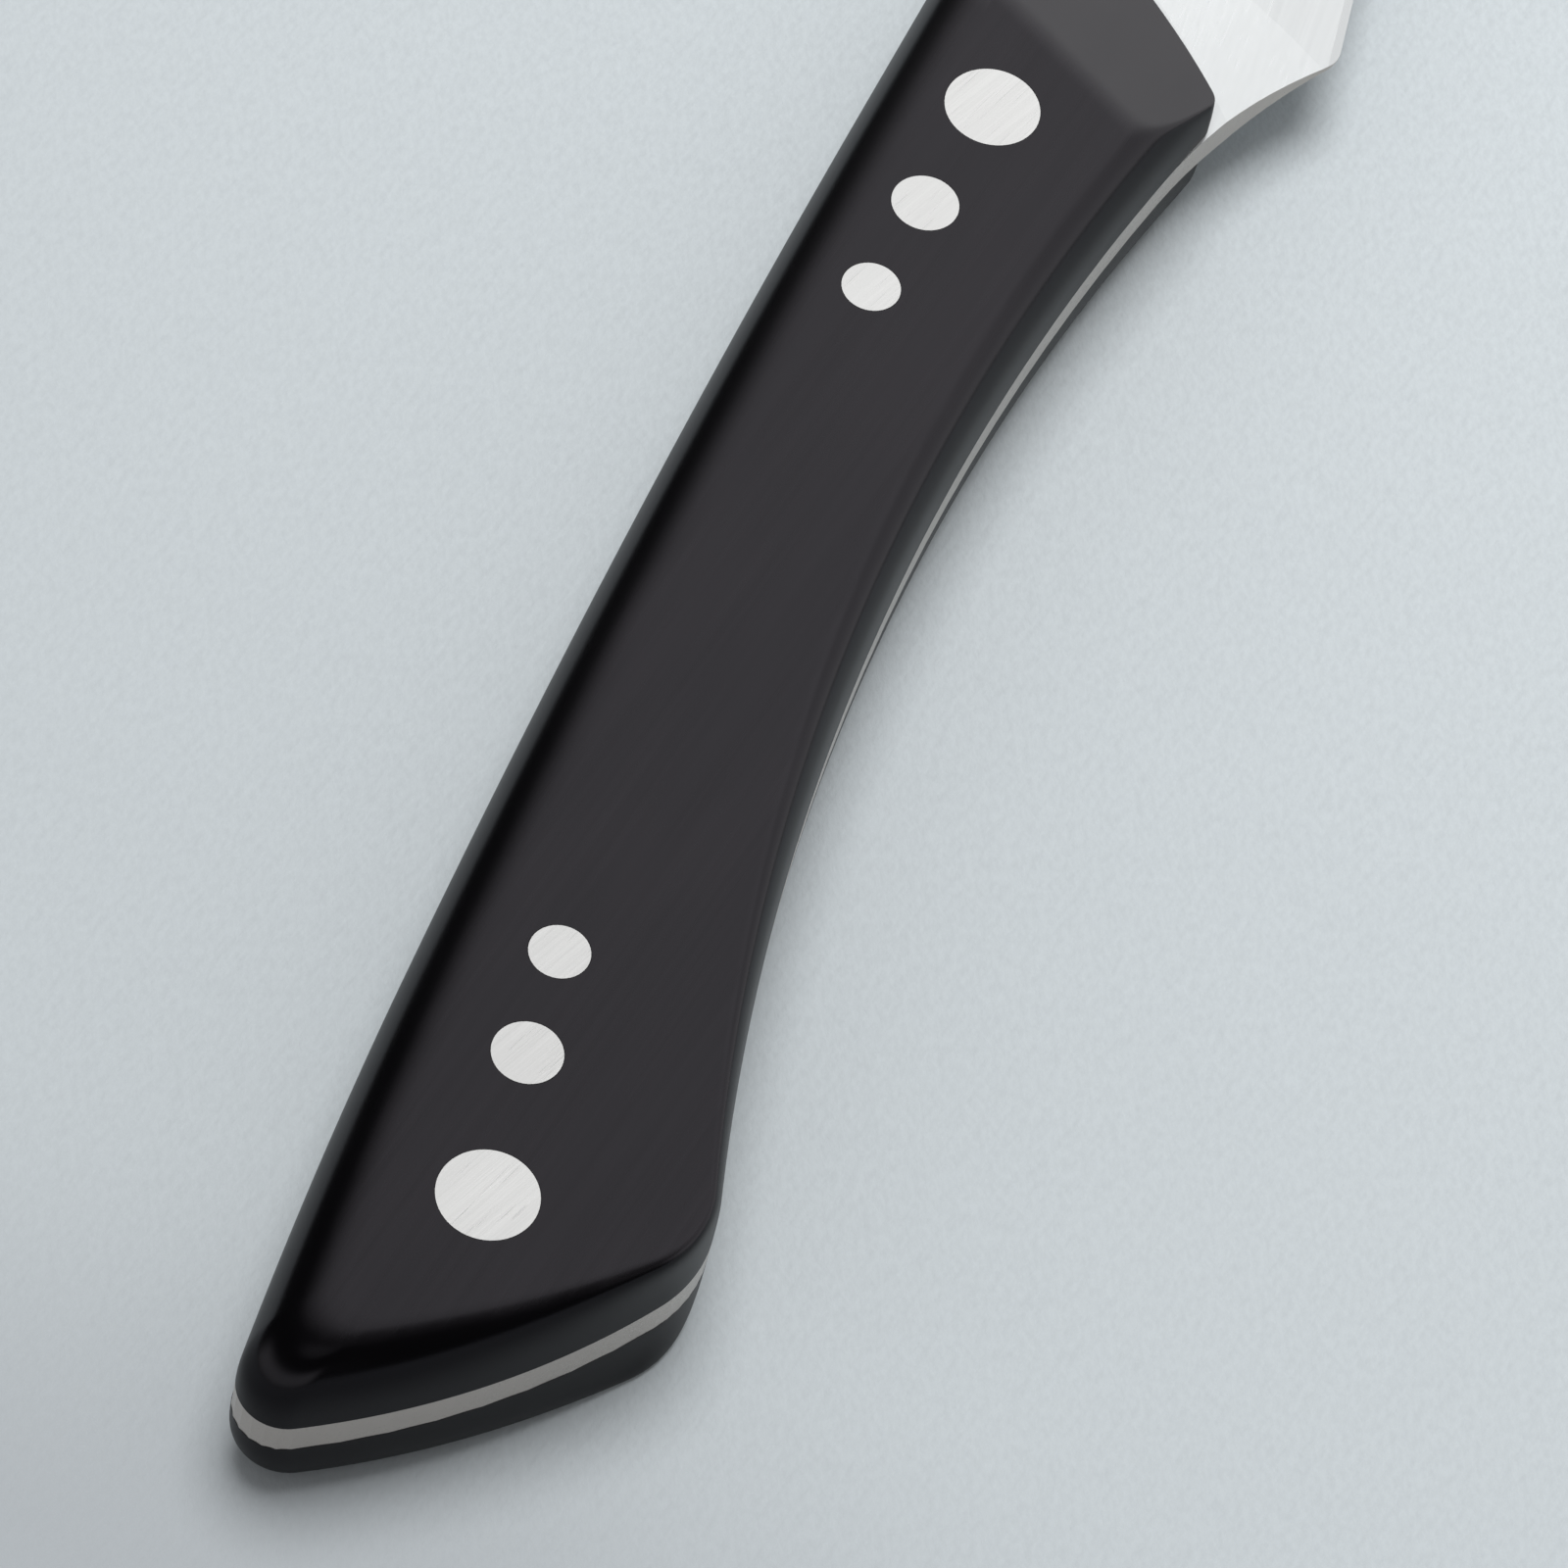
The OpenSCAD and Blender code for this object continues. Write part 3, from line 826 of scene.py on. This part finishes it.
class Shell:
    """Collects surfaces and makes one closed mesh of them."""

    def __init__(self) -> None:
        """Starts with no surface."""
        self.points: List[Array] = []
        self.faces: List[List[int]] = []
        self.count = 0

    def _add(self, points: Array, faces: Array) -> None:
        """Adds points and faces.

        Args:
            points: The points, as points by 3.
            faces: The faces, whose numbers count from the first of these points.
        """
        self.points.append(points)
        self.faces.extend((faces + self.count).tolist())
        self.count += len(points)

    def band(self, rows: Array) -> None:
        """Adds a surface of rows of points, each row closed on itself.

        Args:
            rows: The points, as rows by columns by 3. Quads join each row to the next.
        """
        high, wide = rows.shape[:2]
        row, column = np.meshgrid(np.arange(high - 1), np.arange(wide), indexing="ij")
        here = row * wide + column
        ahead = row * wide + (column + 1) % wide
        quads = np.stack([here, ahead, ahead + wide, here + wide], -1)
        self._add(rows.reshape(-1, 3), quads.reshape(-1, 4))

    def fill(
        self, rim: Array, holes: Sequence[Array], inner: Array, lift: Callable[[Array], Array]
    ) -> None:
        """Adds a surface inside an outline, left open in the holes.

        The plan is cut into triangles between the outline, the holes and the inner points, and
        each point is then lifted to its place.

        Args:
            rim: The outline's points, as points by 2.
            holes: The holes' points.
            inner: Points between them.
            lift: A function from plan points to places.
        """
        loops = [rim, *holes]
        counts = [len(loop) for loop in loops]
        runs = np.split(np.arange(sum(counts)), np.cumsum(counts)[:-1])
        edges = np.concatenate([np.stack([run, np.roll(run, -1)], -1) for run in runs]).tolist()
        plan = np.concatenate([*loops, inner]).tolist()
        spots, _, cut, *_ = geometry.delaunay_2d_cdt(plan, edges, [], WHOLE_HULL, PLAN_TOLERANCE)
        flat, faces = np.array(spots), np.array(cut)
        middle = flat[faces].mean(1)
        keep = inside(middle, rim)
        for hole in holes:
            keep &= ~inside(middle, hole)
        self._add(lift(flat), faces[keep])

    def piece(self, name: str, sharp_above: float = 32.0) -> bpy.types.Object:
        """Makes the object: seams merged, faces outwards, smooth but for its edges.

        Args:
            name: The object's name.
            sharp_above: The angle between faces, in degrees, above which an edge shows.

        Returns:
            The object, linked to the scene.
        """
        mesh = bpy.data.meshes.new(name)
        mesh.from_pydata(np.concatenate(self.points), [], self.faces)
        work = bmesh.new()
        work.from_mesh(mesh)
        bmesh.ops.remove_doubles(work, verts=work.verts, dist=SEAM)
        bmesh.ops.dissolve_degenerate(work, edges=work.edges, dist=SLIVER)
        bmesh.ops.recalc_face_normals(work, faces=work.faces)
        work.to_mesh(mesh)
        work.free()
        mesh.polygons.foreach_set("use_smooth", np.ones(len(mesh.polygons), bool))
        mesh.set_sharp_from_angle(angle=math.radians(sharp_above))
        made = bpy.data.objects.new(name, mesh)
        bpy.context.scene.collection.objects.link(made)
        return made


# Sub-assemblies


def dress_node(name: str, finish: bpy.types.Material) -> None:
    """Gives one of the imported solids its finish.

    Args:
        name: The solid's node.
        finish: Its material.
    """
    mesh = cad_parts[name].data
    mesh.materials.clear()
    mesh.materials.append(finish)
    LOG.info("%s: %d faces", name, len(mesh.polygons))


@dataclass
class Scale:
    """One handle scale with its rolled edge, its slope at the front and the seats of its rivets.

    Its sizes are in millimetres. Its thickness, the height of its face on the tang and the place of
    the plan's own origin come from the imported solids.
    """

    side: Side
    finish: bpy.types.Material
    plan: HandlePlan = HandlePlan()
    roll_power: float = 2.8
    roll_layers: int = 26
    flat_lip: float = 0.15
    slope_reach: float = 7.0
    slope_angle: float = 20.0
    slope_face: float = 30.0
    crease_blend: float = 0.32
    crease_reach: float = 0.64
    crease_grid: float = 0.32
    grid_row_share: float = 0.866
    grid_clear_share: float = 0.6
    head_t: float = 1.6
    fit_gap: float = 0.04
    tube_share: float = 0.62
    rim_points: int = 72
    rivets: Sequence[str] = (
        "rear_large", "rear_medium", "rear_small", "front_small", "front_medium", "front_large",
    )
    thickness: float = field(init=False)
    tang_face: float = field(init=False)
    origin: Array = field(init=False)

    def __post_init__(self) -> None:
        """Reads the scale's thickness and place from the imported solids."""
        low, high = (np.array(corner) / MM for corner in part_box(self.node()))
        self.thickness = high[2] - low[2]
        self.tang_face = low[2] if self.side is Side.UPPER else high[2]
        self.origin = self.head("rear_large")[0]

    def node(self) -> str:
        """The name of the scale's solid."""
        return self.side.name.lower() + "_scale"

    @staticmethod
    def head(name: str) -> Tuple[Array, float]:
        """Reads a rivet head's place and radius, in millimetres, from its solid.

        Args:
            name: The rivet's name without its half.

        Returns:
            The plan place of its axis, and its head's radius.
        """
        low, high = (np.array(corner)[:2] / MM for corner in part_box(name + "_rivet_pin"))
        return (low + high) / 2, float((high - low)[0]) / 2

    def slope(self, plan: Array) -> Array:
        """Height of the slope's plane over the tang, in millimetres.

        It is the scale's thickness less tan(angle) times the way ahead of the slope's start.

        Args:
            plan: Plan points in millimetres.

        Returns:
            One height a point.
        """
        ahead = (plan - [self.plan.rivet_span, 0.0]) @ heading(-self.slope_face) - self.slope_reach
        return self.thickness - math.tan(math.radians(self.slope_angle)) * ahead

    def smooth_least(self, first: Array, second: Array) -> Array:
        """The smaller of two heights, rounded where they meet.

        It is the minimum less (k - gap)^2 / (4 k) wherever their gap is under the blend k.

        Args:
            first: Heights in millimetres.
            second: As many heights.

        Returns:
            The rounded minimum.
        """
        k = self.crease_blend
        near = np.maximum(k - np.abs(first - second), 0.0)
        return np.minimum(first, second) - near * near / (4 * k)

    def raised(self, plan: Array, height: Array) -> Array:
        """Places over plan points.

        Each is the plan point moved by the plan's origin, and as far from the tang's face as its
        height, upwards for the upper scale and downwards for the lower one.

        Args:
            plan: Plan points in millimetres.
            height: Their heights over the tang, in millimetres.

        Returns:
            The places in metres.
        """
        spots = np.empty((*plan.shape[:-1], 3))
        spots[..., :2] = plan + self.origin
        spots[..., 2] = self.tang_face + self.side.value * height
        return spots * MM

    def on_face(self, plan: Array) -> Array:
        """Places on the face over plan points, at the smooth least of the flat and the slope."""
        flat = np.full(len(plan), self.thickness)
        return self.raised(plan, self.smooth_least(flat, self.slope(plan)))

    def on_tang(self, plan: Array) -> Array:
        """Places on the tang's side over plan points, at a height of 0."""
        return self.raised(plan, np.zeros(len(plan)))

    def rings(self) -> Array:
        """The wall and its rolled edge.

        A quarter of a superellipse is carried round the outline: at angle a its height is
        t sin(a)^(2/n), and its outline is drawn in by the share 1 - cos(a)^(2/n). The slope then
        caps the height.

        Returns:
            The rings, from the tang up to a narrow lip on the flat, as rings by points by 3. They
            hold plan places and heights over the tang, in millimetres.
        """
        angle = np.linspace(0.0, math.pi / 2, self.roll_layers)
        rise = self.thickness * np.sin(angle) ** (2 / self.roll_power)
        drawn = 1 - np.clip(np.cos(angle), 0, 1) ** (2 / self.roll_power)
        rise = np.append(rise, self.thickness)
        lip = self.plan.ring(1.0, self.flat_lip)
        rings = np.stack([*(self.plan.ring(share) for share in drawn), lip])
        rolled = np.broadcast_to(rise[:, None], rings.shape[:2])
        height = self.smooth_least(rolled, self.slope(rings))
        height[0] = 0.0
        return np.concatenate([rings, height[..., None]], axis=2)

    def crease_points(self, rim: Array) -> Array:
        """Plan points on a triangular grid over the slope and its crease, clear of the rim.

        The rows lie a share of the grid's step apart, and every other row is moved by half a step.

        Args:
            rim: The outline that they lie in.

        Returns:
            The points in millimetres.
        """
        low, high = rim.min(0), rim.max(0)
        step = self.crease_grid
        x, y = np.meshgrid(
            np.arange(low[0], high[0], step),
            np.arange(low[1], high[1], step * self.grid_row_share))
        x = x + (np.arange(len(y)) % 2)[:, None] * step / 2
        grid = np.stack([x.ravel(), y.ravel()], -1)
        grid = grid[self.slope(grid) < self.thickness + self.crease_reach]
        grid = grid[inside(grid, rim)]
        clear = np.linalg.norm(grid[:, None] - rim[None], axis=2).min(1)
        return grid[clear > self.grid_clear_share * step]

    def build(self) -> bpy.types.Object:
        """Builds the scale in place of its solid.

        The rings, the face and the side on the tang are closed with each rivet's stepped bore: a
        seat as deep as the head, and a bore for the tube.

        Returns:
            The scale's object.
        """
        heads = [self.head(name) for name in self.rivets]
        seats = [
            circle(place - self.origin, head_r + self.fit_gap, self.rim_points)
            for place, head_r in heads
        ]
        bores = [
            circle(place - self.origin, head_r * self.tube_share + self.fit_gap, self.rim_points)
            for place, head_r in heads
        ]
        rings = self.rings()
        top, foot = rings[-1, :, :2], rings[0, :, :2]
        shell = Shell()
        shell.band(self.raised(rings[..., :2], rings[..., 2]))
        shell.fill(top, seats, self.crease_points(top), self.on_face)
        shell.fill(foot, bores, np.empty((0, 2)), self.on_tang)
        ledge = self.thickness - self.head_t
        levels = np.array([self.thickness, ledge, ledge, 0.0])
        for seat, bore in zip(seats, bores):
            rows = np.stack([seat, seat, bore, bore])
            shell.band(self.raised(rows, np.broadcast_to(levels[:, None], rows.shape[:2])))
        made = shell.piece(self.node() + "_body")
        made.data.materials.append(self.finish)
        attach(made, "root")
        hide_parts(self.node())
        LOG.info("%s: %d faces", made.name, len(made.data.polygons))
        return made


@dataclass
class Plate:
    """The blade and tang, which keep their solid and get the ground steel."""

    finish: bpy.types.Material

    def dress(self) -> None:
        """Gives the plate its steel."""
        dress_node("blade", self.finish)


@dataclass
class Rivets:
    """The six two-part rivets, which keep their solids and get the sanded steel."""

    finish: bpy.types.Material

    def dress(self) -> None:
        """Gives every rivet half its steel."""
        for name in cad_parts:
            if "_rivet_" in name:
                dress_node(name, self.finish)


# Studio


def direction(turn: float, rise: float) -> Vector:
    """A way through the room as a unit vector.

    The turn's cosine and sine times the rise's cosine are its shares along X and Y, and the rise's
    sine is its share upwards.

    Args:
        turn: The turn from +X, in degrees.
        rise: The rise over the floor, in degrees.

    Returns:
        The vector.
    """
    turn, rise = math.radians(turn), math.radians(rise)
    return Vector((
        math.cos(turn) * math.cos(rise), math.sin(turn) * math.cos(rise), math.sin(rise)))


@dataclass
class Floor:
    """A square of pale card under the knife."""

    finish: bpy.types.Material
    size: float = 9.0

    def build(self) -> None:
        """Builds the square: z is 0 over a grid of two by two points."""
        half = self.size / 2
        x, y = np.meshgrid([-half, half], [-half, half])
        corners = np.stack([x.ravel(), y.ravel(), np.zeros(x.size)], -1)
        mesh = bpy.data.meshes.new("floor")
        mesh.from_pydata(corners, [], [(0, 1, 3, 2)])
        made = bpy.data.objects.new("floor", mesh)
        bpy.context.scene.collection.objects.link(made)
        mesh.materials.append(self.finish)
        LOG.info("floor: %.0f m square", self.size)


@dataclass
class Key:
    """A broad soft key, nearly overhead, which only matt surfaces take.

    Its turn, its rise and its spread are in degrees.
    """

    turn: float = 12.0
    rise: float = 80.0
    away: float = 1.25
    level: float = 2.0
    spread: float = 36.0

    def build(self) -> None:
        """Hangs the lamp and points it at the knife."""
        lamp = bpy.data.lights.new("key", "SUN")
        lamp.energy = self.level
        lamp.angle = math.radians(self.spread)
        towards = direction(self.turn, self.rise)
        made = bpy.data.objects.new("key", lamp)
        made.location = towards * self.away
        made.rotation_euler = towards.to_track_quat("Z", "Y").to_euler()
        made.visible_glossy = False
        bpy.context.scene.collection.objects.link(made)
        LOG.info("key: level %.1f", self.level)


@dataclass
class Room:
    """An even pale room, in which polished surfaces see a window, a pale back and a skylight.

    Turns are from +X and rises are over the floor, in degrees. The window stands ahead of the
    knife. A curtain dims it on the belly side, where its top slants down. The back is lit up to a
    height, the skylight lies nearly overhead, and the room is dark between them.
    """

    level: float = 0.36
    backdrop: Colour = (0.70, 0.74, 0.76)
    dark_level: float = 0.03
    foot: Span = (0.0, 8.0)
    window_level: float = 2.2
    window_glow: float = 0.10
    window_glow_rise: Span = (10.0, 55.0)
    window_top: Span = (62.5, 66.5)
    window_spine_side: Span = (-12.0, 50.0)
    curtain_level: float = 0.54
    curtain_side: Span = (-16.0, 6.0)
    curtain_end: Span = (-102.0, -84.0)
    curtain_slant: float = 0.35
    slant_from: float = 40.0
    back_level: float = 0.75
    back_spine_side: Span = (84.0, 112.0)
    back_belly_side: Span = (138.0, 155.0)
    back_top: Span = (24.0, 44.0)
    skylight_level: float = 0.3
    skylight_way: Pair = (135.0, 82.0)
    skylight_spread: Span = (14.0, 7.0)

    def window(self, tree: Tree, turn: Socket, rise: Socket) -> Socket:
        """How brightly the window shines along a way.

        It is a product of smooth steps in the turn and in the rise, a little brighter towards the
        floor.

        Args:
            tree: The world's tree.
            turn: The way's turn.
            rise: The way's rise.

        Returns:
            The level.
        """
        clear = tree.step(turn, *self.curtain_side)
        sunk = rise + (-1.0 * turn - self.slant_from).at_least(0.0) * self.curtain_slant
        lit = clear + (1.0 - clear) * self.curtain_level
        lit = lit * tree.step(turn, *self.curtain_end)
        lit = lit * (1.0 - tree.step(turn, *self.window_spine_side))
        lit = lit * tree.step(rise, *self.foot) * (1.0 - tree.step(sunk, *self.window_top))
        glow = 1.0 + self.window_glow * (1.0 - tree.step(rise, *self.window_glow_rise))
        return lit * glow * self.window_level

    def back(self, tree: Tree, turn: Socket, rise: Socket) -> Socket:
        """How brightly the room's back shines along a way.

        It is a product of smooth steps in the turn, to either side, and in the rise.

        Args:
            tree: The world's tree.
            turn: The way's turn.
            rise: The way's rise.

        Returns:
            The level.
        """
        lit = tree.step(turn, *self.back_spine_side).at_least(
            tree.step(-1.0 * turn, *self.back_belly_side))
        lit = lit * tree.step(rise, *self.foot) * (1.0 - tree.step(rise, *self.back_top))
        return lit * self.back_level

    def skylight(self, tree: Tree, x: Socket, y: Socket, z: Socket) -> Socket:
        """How brightly the skylight shines along a way.

        It is a smooth step in the cosine of the angle between the way and the skylight's middle.

        Args:
            tree: The world's tree.
            x: The way along X.
            y: The way along Y.
            z: The way along Z.

        Returns:
            The level.
        """
        centre = direction(*self.skylight_way)
        near = x * centre.x + y * centre.y + z * centre.z
        edges = (math.cos(math.radians(angle)) for angle in self.skylight_spread)
        return tree.step(near, *edges) * self.skylight_level

    def build(self) -> None:
        """Builds the world.

        Matt surfaces take the room's even level, polished ones see its lights, and the camera sees
        the backdrop.
        """
        world = bpy.data.worlds.new("room")
        bpy.context.scene.world = world
        world.use_nodes = True
        tree = Tree(world.node_tree)
        x, y, z = (tree.along(Reading.WAY, axis) for axis in "XYZ")
        to_degrees = math.degrees(1.0)
        turn = tree.node("ShaderNodeMath", {"operation": "ARCTAN2"}, {0: y, 1: x}) * to_degrees
        rise = tree.node("ShaderNodeMath", {"operation": "ARCSINE"}, {0: z}) * to_degrees
        shone = self.window(tree, turn, rise).at_least(self.back(tree, turn, rise))
        shone = shone + self.skylight(tree, x, y, z)
        glossy, camera = (
            tree.node("ShaderNodeLightPath", output=ray.value) for ray in (Ray.GLOSSY, Ray.CAMERA))
        level = self.level + glossy * (self.dark_level + shone - self.level)
        level = level + camera * (1.0 - level)
        tint = tree.blend(camera, (1.0, 1.0, 1.0), self.backdrop)
        lit = tree.node("ShaderNodeBackground", None, {"Color": tint, "Strength": level})
        tree.node("ShaderNodeOutputWorld", None, {"Surface": lit})
        LOG.info("room: level %.2f", self.level)


@dataclass
class Camera:
    """The camera, at the turn that the photograph's view gives.

    Its eye is measured from the foot of the rear large rivet's axis, on the floor. Its lens and its
    sensor are in millimetres, and its eye and its clip in metres.
    """

    eye: Triple = (-0.292200, -0.049722, 0.477226)
    right: Triple = (0.338451, -0.928631, 0.151971)
    down: Triple = (-0.744040, -0.362973, -0.560941)
    lens: float = 210.571
    sensor: float = 36.0
    clip: Span = (0.05, 50.0)

    def build(self) -> None:
        """Places the camera and makes it the scene's."""
        right, down = Vector(self.right), Vector(self.down)
        turn = Matrix((right, -down, right.cross(-down))).transposed().to_4x4()
        low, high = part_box("rear_large_rivet_pin")
        rivet = Vector(((low[0] + high[0]) / 2, (low[1] + high[1]) / 2, 0.0))
        lens = bpy.data.cameras.new("camera")
        lens.lens = self.lens
        lens.sensor_width = self.sensor
        lens.clip_start, lens.clip_end = self.clip
        made = bpy.data.objects.new("camera", lens)
        made.matrix_world = Matrix.Translation(rivet + Vector(self.eye)) @ turn
        bpy.context.scene.collection.objects.link(made)
        bpy.context.scene.camera = made
        LOG.info("camera: %.0f mm", self.lens)


def main() -> None:
    """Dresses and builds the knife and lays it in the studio."""
    logging.basicConfig(level=logging.INFO, format="%(message)s", stream=sys.stdout)
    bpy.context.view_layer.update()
    black = SatinBlack().material()
    plate_steel = GroundSteel().material()
    rivet_steel = GroundSteel(
        name="sanded_steel", colour=(0.565, 0.565, 0.56), dull_colour=(0.49, 0.49, 0.485),
        roughness=0.22, grain_turn=-22.0, line_depth=0.9e-6, scratch_from=0.66,
    ).material()
    Plate(plate_steel).dress()
    Rivets(rivet_steel).dress()
    for side in Side:
        Scale(side, black).build()
    Floor(PaleCard().material()).build()
    Key().build()
    Room().build()
    Camera().build()
    bpy.context.scene.view_settings.view_transform = "Standard"


if __name__ == "__main__":
    main()
